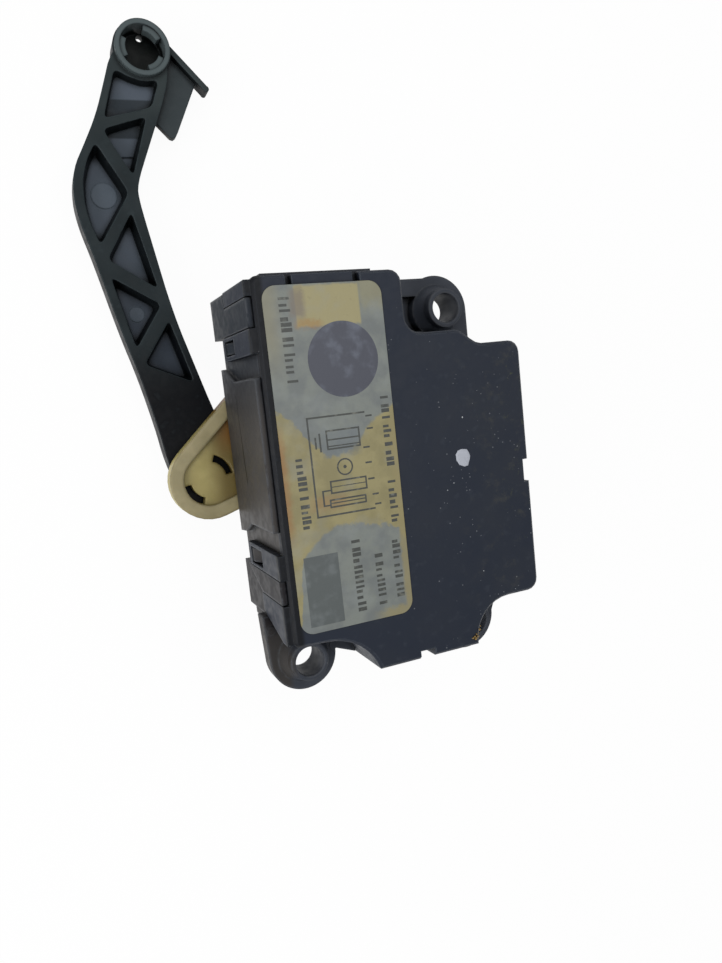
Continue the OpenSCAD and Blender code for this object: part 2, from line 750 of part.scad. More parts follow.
// Polygon with every corner rounded over the length c
function fillet(q, c) = [for (i = [0:len(q) - 1]) let (
    n = len(q), p = q[i], a = q[(i + n - 1) % n] - p, b = q[(i + 1) % n] - p,
    t0 = p + a * c / norm(a), t1 = p + b * c / norm(b))
    for (s = [0:0.25:1]) t0 * (1 - s) * (1 - s) + p * 2 * s * (1 - s) + t1 * s * s];

// Pocket with sloping walls, from its floor up past the rod's open side
module pocket(q) {
    rings = [lift(fillet(inset(q, 0.6), 1), pocket_floor), lift(fillet(q, 1.2), rod_top),
        lift(fillet(q, 1.2), rod_top + 1)];
    n = len(rings[0]);
    polyhedron(
        points = [for (r = rings) each r],
        faces = concat(
            [[for (i = [0:n - 1]) n - 1 - i]],
            [for (k = [0:1], i = [0:n - 1]) let (j = (i + 1) % n)
                each [[k * n + i, k * n + j, k * n + n + j], [k * n + i, k * n + n + j,
                    k * n + n + i]]],
            [[for (i = [0:n - 1]) 2 * n + i]])
    );
}

pocket_floor = rod_top - rod_t + 1.1;

module rod_pockets() {
    difference() {
        for (q = pockets) pocket(q);
        // raised floor next to the socket, with its ramp
        translate([-20, 0, 0]) rotate([90, 0, 90]) linear_extrude(40) polygon([
            [63.4, pocket_floor - 1], [63.4, pocket_floor + 0.25], [73.4, pocket_floor + 1.7],
            [90, pocket_floor + 1.7], [90, pocket_floor - 1]]);
        // marks of the ejector pins
        translate([-10.6, 56.4, pocket_floor - 1]) cylinder(r = 2.4, h = 1.15);
        translate([-8, 33.8, pocket_floor - 1]) cylinder(r = 1.5, h = 1.15);
    }
}

socket_mouth = rod_top + 1.3;
socket_low = rod_top - rod_t - 0.2;
socket_floor = rod_top - 3.3;

module flap_socket() {
    difference() {
        translate([0, 0, socket_low]) cylinder(r = socket_r, h = socket_mouth - socket_low);
        translate([0, 0, socket_floor]) cylinder(r = 4.15, h = 20);
        translate([0.4, 3.4, socket_floor - 3]) cylinder(r = 0.62, h = 5);
    }
    // snap tabs that hold the flap's pin
    for (a = [50, 175, 305]) rotate([0, 0, a])
        translate([0, 0, socket_mouth - 2.4]) rotate([0, 0, -24]) intersection() {
            tube(4.6, 3.1, 0, 2);
            linear_extrude(5) polygon([[0, 0], [9, 0], [9, 9 * tan(54)]]);
        }
}

fin_low = rod_top - 3.4;

// Fin beside the socket by which the rod is pulled off: a curled rib over a plate
module release_fin() {
    top = [3.2, rod_len + 2.8];
    tip = [11.3, 75.2];
    translate([0, 0, fin_low]) linear_extrude(rod_top - 0.3 - fin_low) difference() {
        union() {
            bar(top, tip, 1);
            translate(tip) circle(r = 0.55);
        }
        translate(socket) circle(r = 4.7);
    }
    translate([0, 0, fin_low]) linear_extrude(1.5) difference() {
        polygon([top, [9.9, 77], [9.4, 76.1], [4.9, 67.5], [4.4, 66.7], [3.9, 66.4], [3.3, 66.6],
            [0.9, 69.4], [0.4, 69.5], [2.3, 73.4], [3.7, 78.4]]);
        translate(socket) circle(r = 4.7);
    }
}

module link_rod() color(black) {
    translate([crank_at.x, crank_at.y, 0]) rotate([0, 0, rod_angle]) difference() {
        union() {
            difference() {
                translate([0, 0, rod_top - rod_t]) linear_extrude(rod_t) rod_outline();
                rod_pockets();
                translate([socket.x, socket.y, -50]) cylinder(r = socket_r - 0.3, h = 80);
            }
            translate([socket.x, socket.y, 0]) flap_socket();
            release_fin();
        }
        disc(pin_r + running_gap, rod_top - rod_t - 1, rod_top + 1);
    }
}

base_housing();
cover();
label();
terminal_carrier();
terminals();
motor_terminal_block();
lead_wires();
motor_can();
motor_plate();
stator_plates();
bobbin_lower();
bobbin_upper();
winding_lower();
winding_upper();
bush_lower();
bush_upper();
motor_screws();
axle_first();
axle_second();
axle_third();
rotor_magnet();
rotor_shaft();
motor_pinion();
first_gear();
second_gear();
third_gear();
output_gear();
crank_lever();
link_rod();
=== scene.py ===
# %% [markdown]
# # Intake flap actuator
#
# The real object is a small electric actuator: a black moulded case with a stepping motor
# inside, a cream crank under it and a long ribbed rod that moves an air flap. The hard
# shapes come from the CAD model. This lesson gives them their finishes, adds the printed
# label and the small marks of use, and lights them as the photograph does.

# %% Load the fixed frame
import json
import math
import random

import bpy
import bmesh
from mathutils import Matrix, Vector


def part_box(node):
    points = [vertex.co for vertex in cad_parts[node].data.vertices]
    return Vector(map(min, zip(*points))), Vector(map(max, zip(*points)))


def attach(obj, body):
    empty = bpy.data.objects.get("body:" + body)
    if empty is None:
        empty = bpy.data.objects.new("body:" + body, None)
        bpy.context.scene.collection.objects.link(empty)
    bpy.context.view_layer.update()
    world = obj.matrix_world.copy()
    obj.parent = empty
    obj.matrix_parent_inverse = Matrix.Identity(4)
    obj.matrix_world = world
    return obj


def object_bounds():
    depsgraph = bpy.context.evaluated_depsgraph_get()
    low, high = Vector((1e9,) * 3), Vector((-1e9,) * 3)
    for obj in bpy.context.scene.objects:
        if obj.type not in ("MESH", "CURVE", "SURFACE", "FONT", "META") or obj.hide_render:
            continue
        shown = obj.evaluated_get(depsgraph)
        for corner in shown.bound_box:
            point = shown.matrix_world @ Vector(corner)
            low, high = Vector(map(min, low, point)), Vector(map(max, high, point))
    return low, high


MM = 0.001

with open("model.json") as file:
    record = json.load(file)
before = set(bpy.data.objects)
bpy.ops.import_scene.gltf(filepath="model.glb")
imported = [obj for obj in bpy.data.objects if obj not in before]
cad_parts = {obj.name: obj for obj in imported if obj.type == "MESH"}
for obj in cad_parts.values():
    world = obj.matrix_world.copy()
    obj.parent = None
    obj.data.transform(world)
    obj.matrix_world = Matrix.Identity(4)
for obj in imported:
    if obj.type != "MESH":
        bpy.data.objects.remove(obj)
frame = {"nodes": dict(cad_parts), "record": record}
nodes = frame["nodes"]
cad_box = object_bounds()


def corners_mm(node):
    """The lowest and highest corner of a CAD node at rest, in millimetres."""
    low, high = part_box(node)
    return low / MM, high / MM


cover_top = corners_mm("cover")[1].z
rod_top = corners_mm("link_rod")[1].z
label_low, label_high = corners_mm("label")
print("CAD nodes:", len(nodes))
print("top of cover and rod in mm:", round(cover_top, 2), round(rod_top, 2))

# %% [markdown]
# ## Camera
#
# The photograph was taken from above the left wall, close up, with the case's length
# running up the frame. The camera's place and axes were solved from the case's straight
# edges, so the numbers below are a measured view and not a guess. The lens is wide,
# because the case's far edges shrink a lot.

# %% Camera at the photograph's viewpoint
SENSOR_MM, LENS_MM = 36, 28.885
CAMERA_AT_MM = Vector((-40.19, 49.32, 139.54))
view_right = Vector((0.91508, -0.10680, 0.38886))
view_up = Vector((0.14601, 0.98661, -0.07262))
view_back = Vector((-0.37590, 0.12323, 0.91843))

camera_data = bpy.data.cameras.new("camera")
camera_data.sensor_width = SENSOR_MM
camera_data.lens = LENS_MM
camera_data.clip_start = 5 * MM
camera = bpy.data.objects.new("camera", camera_data)
view_axes = Matrix((view_right, view_up, view_back)).transposed().to_4x4()
camera.matrix_world = Matrix.Translation(CAMERA_AT_MM * MM) @ view_axes
bpy.context.collection.objects.link(camera)
bpy.context.scene.camera = camera
bpy.context.scene.view_settings.view_transform = "Standard"
print("camera at", [round(c, 4) for c in camera.matrix_world.translation])

# %% [markdown]
# ## Shader helpers
#
# Every finish below is a small network of shader nodes. Typing each link by hand hides
# what a finish is made of, so one helper adds a node and connects it in a single line.
# Another helper hands every texture its place in millimetres, because a grain of 0.2 mm is
# easier to think about than a scale of 5000.

# %% Helpers that add shader nodes
def shader(tree, kind, inputs=None, **settings):
    """A new node of this kind; each input is given a plain value or a socket to link."""
    made = tree.nodes.new(kind)
    for key, value in settings.items():
        setattr(made, key, value)
    for key, value in (inputs or {}).items():
        if isinstance(value, bpy.types.NodeSocket):
            tree.links.new(value, made.inputs[key])
        else:
            made.inputs[key].default_value = value
    return made


def start_finish(name, roughness, metallic=0.0):
    """A new material, its node tree, its surface shader and the place in millimetres."""
    material = bpy.data.materials.new(name)
    material.use_nodes = True
    tree = material.node_tree
    surface = tree.nodes["Principled BSDF"]
    surface.inputs["Roughness"].default_value = roughness
    surface.inputs["Metallic"].default_value = metallic
    place = shader(tree, "ShaderNodeTexCoord").outputs["Object"]
    where = shader(tree, "ShaderNodeVectorMath", {0: place, 1: (1 / MM, 1 / MM, 1 / MM)},
                   operation="MULTIPLY").outputs[0]
    return material, tree, surface, where


def place_of(tree, where):
    parts = shader(tree, "ShaderNodeSeparateXYZ", {0: where})
    return parts.outputs["X"], parts.outputs["Y"], parts.outputs["Z"]


def maths(tree, operation, a, b=0.0, clamp=False):
    return shader(tree, "ShaderNodeMath", {0: a, 1: b}, operation=operation,
                  use_clamp=clamp).outputs[0]


def noise(tree, where, scale, detail=3.0, roughness=0.55):
    return shader(tree, "ShaderNodeTexNoise",
                  {"Vector": where, "Scale": scale, "Detail": detail,
                   "Roughness": roughness}).outputs[0]


def spread(tree, value, low, high, to_low=0.0, to_high=1.0):
    """A smooth step: to_low where value is low, to_high where it is high."""
    return shader(tree, "ShaderNodeMapRange",
                  {"Value": value, "From Min": low, "From Max": high,
                   "To Min": to_low, "To Max": to_high},
                  interpolation_type="SMOOTHSTEP").outputs[0]


def between(tree, value, low, high, soft):
    """1 where value lies between low and high, with borders that are soft mm wide."""
    rise = spread(tree, value, low - soft / 2, low + soft / 2)
    fall = spread(tree, value, high + soft / 2, high - soft / 2)
    return maths(tree, "MULTIPLY", rise, fall)


def all_of(tree, *masks):
    """1 where every mask is 1."""
    product = masks[0]
    for mask in masks[1:]:
        product = maths(tree, "MULTIPLY", product, mask)
    return product


def outside(tree, mask):
    """1 where the mask is 0."""
    return maths(tree, "SUBTRACT", 1.0, mask)


def tint(tree, mask, first, second):
    """The first colour where the mask is 0, the second where it is 1."""
    mixed = shader(tree, "ShaderNodeMix", {0: mask, 6: first, 7: second}, data_type="RGBA")
    return mixed.outputs[2]


def stain(tree, colour, mask, strength, laid_over):
    """The colour with another laid over it where the mask is 1, at this strength."""
    return tint(tree, maths(tree, "MULTIPLY", mask, strength), colour, laid_over)


def paint(red, green, blue):
    """A colour as it looks on screen, 0 to 255, turned into the linear light of shaders."""
    light = [c / 255 / 12.92 if c < 10.3 else ((c / 255 + 0.055) / 1.055) ** 2.4
             for c in (red, green, blue)]
    return (*light, 1.0)


print("mid grey in linear light:", [round(c, 3) for c in paint(128, 128, 128)])

# %% [markdown]
# ## What moulded plastic shows up close
#
# A moulded part is never one flat grey. Its sharp edges are a little round and catch
# light, and a painted highlight lightens them more; its corners are painted darker as
# painted shade; its skin has a fine spark-eroded grain, and dust settles on faces that look
# up. Each of these is one helper. The Bevel node rounds the shading of an edge without
# changing the CAD mesh.

# %% Helpers for edges, crevices and dust
def rounded(tree, radius_mm):
    """The surface's normal as if its edges had this radius."""
    return shader(tree, "ShaderNodeBevel", {"Radius": radius_mm * MM}, samples=6).outputs[0]


def edge_mask(tree, soft_normal):
    """1 along sharp edges, where the rounded normal leaves the face's own."""
    flat = shader(tree, "ShaderNodeNewGeometry").outputs["True Normal"]
    same = shader(tree, "ShaderNodeVectorMath", {0: flat, 1: soft_normal},
                  operation="DOT_PRODUCT").outputs["Value"]
    return spread(tree, same, 0.995, 0.86)


def crevice_mask(tree, reach_mm):
    """1 deep in corners and slots, 0 on open faces."""
    open_sky = shader(tree, "ShaderNodeAmbientOcclusion", {"Distance": reach_mm * MM},
                      samples=8).outputs["AO"]
    return spread(tree, open_sky, 0.92, 0.35)


def facing_up(tree):
    """1 on faces that look up, 0 on walls."""
    normal = shader(tree, "ShaderNodeNewGeometry").outputs["Normal"]
    z = shader(tree, "ShaderNodeSeparateXYZ", {0: normal}).outputs["Z"]
    return spread(tree, z, 0.6, 0.9)


def speck_mask(tree, where, spacing_mm, size, share):
    """Dust: a few random cells of a Voronoi pattern hold one small round speck each."""
    cells = shader(tree, "ShaderNodeTexVoronoi", {"Vector": where, "Scale": 1 / spacing_mm})
    chance = shader(tree, "ShaderNodeSeparateXYZ", {0: cells.outputs["Color"]})
    limit = maths(tree, "MULTIPLY", chance.outputs["Y"], size)
    small = maths(tree, "LESS_THAN", cells.outputs["Distance"], limit)
    picked = maths(tree, "LESS_THAN", chance.outputs["X"], share)
    return maths(tree, "MULTIPLY", small, picked)


def grain(tree, where, normal, scale, strength):
    """A normal roughened by fine noise, as moulds and tools leave it."""
    height = noise(tree, where, scale, detail=2)
    return shader(tree, "ShaderNodeBump",
                  {"Strength": strength, "Distance": 0.05 * MM, "Height": height,
                   "Normal": normal}).outputs[0]


print("helpers for wear:", [f.__name__ for f in (rounded, edge_mask, crevice_mask, facing_up,
                                                 speck_mask, grain)])


# %% [markdown]
# ## Black moulded plastic
#
# Case, cover and rod are the same kind of plastic, but light, wear and age make different
# tones of it. A finish could be one long network for each. Here a single recipe does the
# skin, the edges with wear and a painted highlight, painted shade in crevices, and dust, and
# each piece hands it a colour that it has mixed before, so the three look like one family.

# %% Recipe for moulded black plastic
# The first colour is the near-black of painted shade in corners and slots; the second is dust.
CREVICE_SHADE, DUST_GREY = paint(6, 7, 9), paint(184, 188, 192)


def moulded_black(tree, surface, where, colour, rubbed, dust=0.0, edge_highlight=0.6, soft_mm=0.3,
                  crevice_shade=0.9, reach_mm=1.6, skin=0.3):
    """Black plastic of a given colour; dust, painted edge highlight, painted crevice shade and
    skin set the amounts.
    """
    streaks = noise(tree, where, 0.6, detail=2, roughness=0.5)
    colour = tint(tree, spread(tree, streaks, 0.56, 0.8, 0, 0.12), colour, rubbed)
    soft = rounded(tree, soft_mm)
    # Lighter along sharp edges in the rubbed colour: wear and a painted highlight.
    edges = all_of(tree, edge_mask(tree, soft), spread(tree, streaks, 0.25, 0.5))
    colour = stain(tree, colour, edges, edge_highlight, rubbed)
    # Darker deep in corners and slots: painted shade.
    shaded_crevices = maths(tree, "MAXIMUM", crevice_mask(tree, reach_mm), crevice_mask(tree, 0.5))
    colour = stain(tree, colour, shaded_crevices, crevice_shade, CREVICE_SHADE)
    large = speck_mask(tree, where, 1.6, 0.11, maths(tree, "MULTIPLY", dust, 0.4))
    fine = maths(tree, "MULTIPLY", speck_mask(tree, where, 0.8, 0.18, dust), 0.25)
    settled = all_of(tree, maths(tree, "MAXIMUM", large, fine), facing_up(tree))
    colour = stain(tree, colour, settled, 0.8, DUST_GREY)
    tree.links.new(colour, surface.inputs["Base Color"])
    tree.links.new(spread(tree, streaks, 0.3, 0.7, 0.4, 0.54), surface.inputs["Roughness"])
    tree.links.new(grain(tree, where, soft, 3.2, skin), surface.inputs["Normal"])


# %% [markdown]
# ## Cover
#
# The cover is the bluest of the three. Its narrow margin left of the label is painted dark,
# as painted shade, and its edge highlight is weaker there. The right side has been handled: it
# holds most of the dust and a few green-brown stains. Both are masks by position, bent by
# noise.

# %% Cover finish
def cover_finish():
    material, tree, surface, where = start_finish("cover_black", 0.5)
    surface.inputs["Specular IOR Level"].default_value = 0.2
    x, y, z = place_of(tree, where)
    cloud = spread(tree, noise(tree, where, 0.09, detail=4), 0.35, 0.68)
    colour = tint(tree, cloud, paint(34, 40, 52), paint(38, 43, 53))
    # The margin left of the label is painted dark: painted shade.
    shaded_margin = all_of(tree, spread(tree, x, label_low.x + 0.75, label_low.x - 0.15),
                    spread(tree, z, cover_top - 2, cover_top - 1))
    colour = stain(tree, colour, shaded_margin, 0.9, paint(10, 12, 16))
    handled = spread(tree, x, 24, 44)
    smear = spread(tree, noise(tree, where, 0.35, detail=6, roughness=0.7), 0.52, 0.72)
    on_top = spread(tree, z, cover_top - 1.4, cover_top - 0.4)
    colour = tint(tree, all_of(tree, handled, smear, on_top), colour, paint(54, 56, 58))
    blots = spread(tree, noise(tree, where, 0.55, detail=5, roughness=0.75), 0.58, 0.7)
    near_notch = all_of(tree, spread(tree, x, 37, 43), between(tree, y, 20, 54, 14))
    colour = stain(tree, colour, all_of(tree, blots, near_notch), 0.75, paint(68, 72, 56))
    drift = spread(tree, noise(tree, where, 0.12, detail=3), 0.42, 0.6)
    dust = maths(tree, "ADD", 0.06, all_of(tree, drift, spread(tree, x, 10, 34), 0.6))
    # The edge highlight is a painted highlight, weaker on the shaded margin.
    edge_highlight_strength = maths(tree, "SUBTRACT", 0.75, maths(tree, "MULTIPLY", shaded_margin, 0.5))
    moulded_black(tree, surface, where, colour, paint(78, 84, 92), dust, edge_highlight_strength,
                  soft_mm=0.5, skin=0.15)
    return material


cover_black = cover_finish()
print("cover finish nodes:", len(cover_black.node_tree.nodes))


# %% [markdown]
# ## Case
#
# The case is the same bluish grey as the cover, except on its left wall. The camera sees
# that wall at a low angle, so much of its tone is the floor's reflection, and its own
# colours had to be chosen with that in mind. Masks by position mix a cool tone for the
# plug end, darkened there as painted shade, a brownish one for the middle and a darker one
# near the lower ear, which is painted shade. One more paints a fine dark line along the
# middle panel's lower step: a painted shadow of that step.

# %% Case finish
# How far the painted shadow line rises, in mm, for each mm towards the lower end
STEP_SHADOW_RISE = 0.06


def case_finish():
    material, tree, surface, where = start_finish("case_black", 0.45)
    surface.inputs["Specular IOR Level"].default_value = 0.15
    x, y, z = place_of(tree, where)
    cloud = spread(tree, noise(tree, where, 0.12, detail=4), 0.35, 0.68)
    cool = tint(tree, cloud, paint(54, 58, 66), paint(63, 67, 75))
    warm = tint(tree, cloud, paint(56, 54, 53), paint(63, 60, 58))
    left_wall = spread(tree, x, -2.0, -3.6)
    colour = tint(tree, left_wall, cool, warm)
    # Darker at the plug end of the left wall: painted shade.
    shaded_plug_end = all_of(tree, spread(tree, y, 44, 58), left_wall)
    colour = tint(tree, shaded_plug_end, colour, paint(34, 40, 48))
    # Darker near the lower ear on the left wall: painted shade.
    shaded_lower_end = all_of(tree, between(tree, y, 6, 20, 8), spread(tree, x, -3, -5))
    colour = tint(tree, shaded_lower_end, colour, paint(32, 30, 33))
    # A fine dark line under the step of the middle panel: a painted shadow of that step.
    from_middle = maths(tree, "SUBTRACT", 42, y)
    step_shadow_line = maths(tree, "ADD", 0.5, maths(tree, "MULTIPLY", from_middle, STEP_SHADOW_RISE))
    off_step_shadow = maths(tree, "SUBTRACT", z, step_shadow_line)
    step_shadow = all_of(tree, between(tree, off_step_shadow, -0.28, 0.28, 0.1),
                  between(tree, y, 33.5, 50, 1), spread(tree, x, -5.0, -5.5))
    colour = tint(tree, step_shadow, colour, paint(14, 14, 16))
    moulded_black(tree, surface, where, colour, paint(86, 89, 94), 0.05, 0.8, soft_mm=0.8,
                  reach_mm=1.8, skin=0.03)
    return material


case_black = case_finish()
print("case finish nodes:", len(case_black.node_tree.nodes))


# %% [markdown]
# ## Rod
#
# The floors of the rod's pockets are paler and bluer than its rims, most of all towards
# the socket, and two round ejector marks on them are paler still. The faces that don't look
# up, the pocket walls among them, and the ramp near the socket are painted dark as painted
# shade. The flat foot under the crank is nearly black, and beside it the rod's low side walls
# are painted nearly black as painted shade. The inside of the socket is painted nearly black
# as painted shade, and its snap tabs are painted palest as painted light. A floor is what
# faces up and lies low, so height and normal pick it out, and the distance from an axis
# picks out the round places.

# %% Marks with an upright axis
mounts = {mount["name"]: mount for mount in frame["record"]["mounts"]}
SOCKET = tuple(c / MM for c in mounts["flap_pin_socket"]["pos_m"][:2])
# Each ejector mark: its place and its radius
EJECTORS = ((-21.67, 90.21, 2.4), (-18.68, 67.66, 1.5))


def near_axis(tree, x, y, axis, low, high):
    """1 within `low` mm of an upright axis, 0 beyond `high` mm."""
    dx = maths(tree, "SUBTRACT", x, axis[0])
    dy = maths(tree, "SUBTRACT", y, axis[1])
    squared = maths(tree, "ADD", maths(tree, "MULTIPLY", dx, dx),
                    maths(tree, "MULTIPLY", dy, dy))
    return spread(tree, maths(tree, "SQRT", squared), high, low)


print("socket axis in mm:", SOCKET, "ejector marks:", len(EJECTORS))

# %% Rod finish
# How far the fin leans to the side, in mm, for each mm along the part
FIN_LEAN = 0.34


def rod_finish():
    material, tree, surface, where = start_finish("rod_black", 0.5)
    surface.inputs["Specular IOR Level"].default_value = 0.12
    x, y, z = place_of(tree, where)
    cloud = spread(tree, noise(tree, where, 0.15, detail=4), 0.35, 0.68)
    upward = facing_up(tree)
    rims = tint(tree, cloud, paint(27, 35, 38), paint(36, 44, 47))
    near_socket = tint(tree, cloud, paint(42, 50, 52), paint(50, 58, 59))
    rims = tint(tree, spread(tree, y, 92, 112), rims, near_socket)
    # Faces that don't look up, such as the pocket walls, are painted dark: painted shade.
    rims = stain(tree, rims, outside(tree, upward), 0.9, paint(12, 15, 17))
    pale_floors = tint(tree, cloud, paint(76, 85, 95), paint(84, 92, 103))
    dark_floors = tint(tree, cloud, paint(56, 64, 75), paint(64, 72, 83))
    floors = tint(tree, spread(tree, y, 82, 62), pale_floors, dark_floors)
    in_pocket = all_of(tree, spread(tree, z, rod_top - 1.8, rod_top - 2.8), upward)
    colour = tint(tree, in_pocket, rims, floors)
    marks = 0.0
    for mark_x, mark_y, radius in EJECTORS:
        mark = near_axis(tree, x, y, (mark_x, mark_y), radius, radius + 0.35)
        marks = maths(tree, "MAXIMUM", marks, mark)
    colour = stain(tree, colour, all_of(tree, marks, in_pocket), 0.4, paint(98, 108, 118))
    # The ramp near the socket is painted dark: painted shade.
    shaded_ramp = all_of(tree, between(tree, y, 100.6, 107.4, 0.4), in_pocket,
                  spread(tree, x, -6.5, -8.5))
    colour = stain(tree, colour, shaded_ramp, 0.85, paint(36, 43, 48))
    beside = maths(tree, "SUBTRACT", x, maths(tree, "MULTIPLY", y, FIN_LEAN))
    fin = all_of(tree, spread(tree, beside, -45.8, -45.4), spread(tree, y, 96, 97), in_pocket)
    colour = tint(tree, fin, colour, paint(55, 62, 65))
    # The snap tabs round the socket are painted pale: painted light.
    tabs = near_axis(tree, x, y, SOCKET, 5.0, 5.3)
    colour = stain(tree, colour, tabs, 0.85, paint(84, 94, 96))
    # The inside of the socket is painted nearly black: painted shade.
    shaded_socket_inside = all_of(tree, tabs, spread(tree, z, rod_top - 2.2, rod_top - 3.4))
    colour = tint(tree, shaded_socket_inside, colour, paint(12, 16, 15))
    # The foot is nearly black; near it the rod's low side walls are painted nearly black as
    # painted shade.
    low_down = spread(tree, z, rod_top - 2, rod_top - 3.2)
    foot = maths(tree, "MAXIMUM", spread(tree, y, 66, 50), low_down)
    foot = all_of(tree, foot, outside(tree, in_pocket), spread(tree, y, 72, 58))
    colour = tint(tree, foot, colour, paint(7, 9, 14))
    # Less painted crevice shade on the ejector marks.
    crevice_shade = maths(tree, "MULTIPLY", outside(tree, marks), 0.9)
    moulded_black(tree, surface, where, colour, paint(70, 79, 83), 0.0, 0.5, soft_mm=0.5,
                  crevice_shade=crevice_shade, reach_mm=1.5)
    return material


rod_black = rod_finish()
print("rod finish nodes:", len(rod_black.node_tree.nodes))


# %% [markdown]
# ## Aged cream plastic
#
# The crank is an undyed plastic that has yellowed. Age shows as uneven blotches. Its
# corners are painted browner as painted shade, and beside the case it is darker and browner
# from a brown stain and painted shade together. A little light passes under the skin of
# such a plastic, so its shadows are warm, which the subsurface value gives.

# %% Crank finish
def aged_cream():
    material, tree, surface, where = start_finish("aged_cream", 0.48)
    x, y, z = place_of(tree, where)
    blotch = spread(tree, noise(tree, where, 0.22, detail=4), 0.35, 0.66)
    rim = tint(tree, blotch, paint(150, 140, 104), paint(166, 155, 118))
    recess = tint(tree, blotch, paint(172, 159, 100), paint(186, 173, 114))
    sunk = spread(tree, z, -12.2, -12.9)
    colour = tint(tree, sunk, rim, recess)
    shaded = all_of(tree, spread(tree, x, -12, -6), sunk)
    colour = stain(tree, colour, shaded, 0.95, paint(110, 94, 46))
    # Darker and browner beside the case: a brown stain and painted shade together.
    browned_and_shaded = all_of(tree, spread(tree, x, -9.5, -4.5), spread(tree, y, 37, 43), sunk)
    colour = stain(tree, colour, browned_and_shaded, 0.8, paint(128, 84, 28))
    # Browner deep in corners and slots: painted shade.
    colour = stain(tree, colour, crevice_mask(tree, 1.6), 0.15, paint(84, 64, 26))
    flecks = speck_mask(tree, where, 1.2, 0.1, 0.08)
    colour = stain(tree, colour, flecks, 0.4, paint(90, 74, 44))
    tree.links.new(colour, surface.inputs["Base Color"])
    surface.inputs["Subsurface Weight"].default_value = 0.12
    surface.inputs["Subsurface Radius"].default_value = (0.9, 0.6, 0.3)
    surface.inputs["Subsurface Scale"].default_value = MM
    tree.links.new(grain(tree, where, rounded(tree, 0.8), 2.2, 0.3), surface.inputs["Normal"])
    return material


cream = aged_cream()
print("crank finish nodes:", len(cream.node_tree.nodes))

# %% [markdown]
# ## Metals and inner plastics
#
# Nothing of these shows while the case is closed, but each piece still gets the finish of
# the real one: drawn steel with fine streaks, turned brass, enamelled copper wire and
# natural white plastic. One recipe covers the metals, with the direction and depth of the
# machining marks as values.

# %% Recipe for machined metal
def machined(name, base, shade, roughness, stretch, scale):
    """Metal with tool marks: noise of this scale, pulled out along an axis by stretch."""
    material, tree, surface, where = start_finish(name, roughness, metallic=1.0)
    pulled = shader(tree, "ShaderNodeVectorMath", {0: where, 1: stretch},
                    operation="MULTIPLY").outputs[0]
    marks = noise(tree, pulled, scale, detail=4, roughness=0.7)
    tree.links.new(tint(tree, spread(tree, marks, 0.35, 0.65), base, shade),
                   surface.inputs["Base Color"])
    tree.links.new(spread(tree, marks, 0.3, 0.7, roughness - 0.08, roughness + 0.12),
                   surface.inputs["Roughness"])
    tree.links.new(grain(tree, pulled, rounded(tree, 0.12), scale, 0.25),
                   surface.inputs["Normal"])
    return material


drawn_steel = machined("drawn_steel", paint(168, 168, 170), paint(140, 141, 145), 0.34,
                       (1, 1, 0.15), 2.5)
turned_brass = machined("turned_brass", paint(206, 178, 104), paint(178, 148, 82), 0.3,
                        (1, 1, 4), 2.0)
sintered_bronze = machined("sintered_bronze", paint(158, 118, 76), paint(126, 92, 60), 0.5,
                           (1, 1, 1), 4.0)
copper_wire = machined("copper_wire", paint(196, 104, 52), paint(150, 72, 34), 0.36,
                       (0.2, 0.2, 9), 1.0)
print("metals:", [m.name for m in (drawn_steel, turned_brass, sintered_bronze, copper_wire)])

# %% Recipe for inner plastics and the magnet
def plain_moulding(name, base, shade, roughness, scale=0.5):
    material, tree, surface, where = start_finish(name, roughness)
    cloud = noise(tree, where, scale, detail=4)
    tree.links.new(tint(tree, spread(tree, cloud, 0.35, 0.65), base, shade),
                   surface.inputs["Base Color"])
    tree.links.new(grain(tree, where, rounded(tree, 0.15), 3.0, 0.25),
                   surface.inputs["Normal"])
    return material


natural_white = plain_moulding("natural_white", paint(226, 223, 208), paint(214, 209, 190), 0.4)
carrier_black = plain_moulding("carrier_black", paint(30, 31, 35), paint(40, 41, 46), 0.45)
magnet_grey = plain_moulding("magnet_grey", paint(64, 64, 68), paint(84, 84, 88), 0.6, 1.5)
wire_sleeve = plain_moulding("wire_sleeve", paint(150, 30, 26), paint(128, 22, 20), 0.35)
print("inside:", [m.name for m in (natural_white, carrier_black, magnet_grey, wire_sleeve)])

# %% [markdown]
# ## The stained label
#
# The label is a silver film whose varnish has yellowed where the adhesive came through.
# The stain has clear zones: one yellow patch with sharp sides at the top, a wide yellow
# belt across the middle with a wavy border, and an orange brown edge on the left. Smaller
# spots of rust, smoke and blue grey lie over them. Image textures would be the other way,
# but zones painted by position, in millimetres from the label's centre, stay sharp at any
# size, and noise bends their borders.

# %% Borders drawn through points
label_centre = (label_low + label_high) / 2


def border(tree, along, points):
    """The height of a border over `along`, both in mm, drawn through the given points."""
    heights = [height for _, height in points]
    start, length = points[0][0], points[-1][0] - points[0][0]
    low, rise = min(heights), max(heights) - min(heights)
    share = maths(tree, "DIVIDE", maths(tree, "SUBTRACT", along, start), length, clamp=True)
    drawn = shader(tree, "ShaderNodeFloatCurve", {"Value": share})
    line = drawn.mapping.curves[0]
    while len(line.points) < len(points):
        line.points.new(0.5, 0.5)
    for knot, (place, height) in zip(line.points, points):
        knot.location = ((place - start) / length, (height - low) / rise)
    drawn.mapping.update()
    return maths(tree, "ADD", maths(tree, "MULTIPLY", drawn.outputs[0], rise), low)


def above(tree, value, limit, soft):
    """1 where value is above a limit that may itself vary, soft mm wide."""
    return spread(tree, maths(tree, "SUBTRACT", value, limit), -soft / 2, soft / 2)


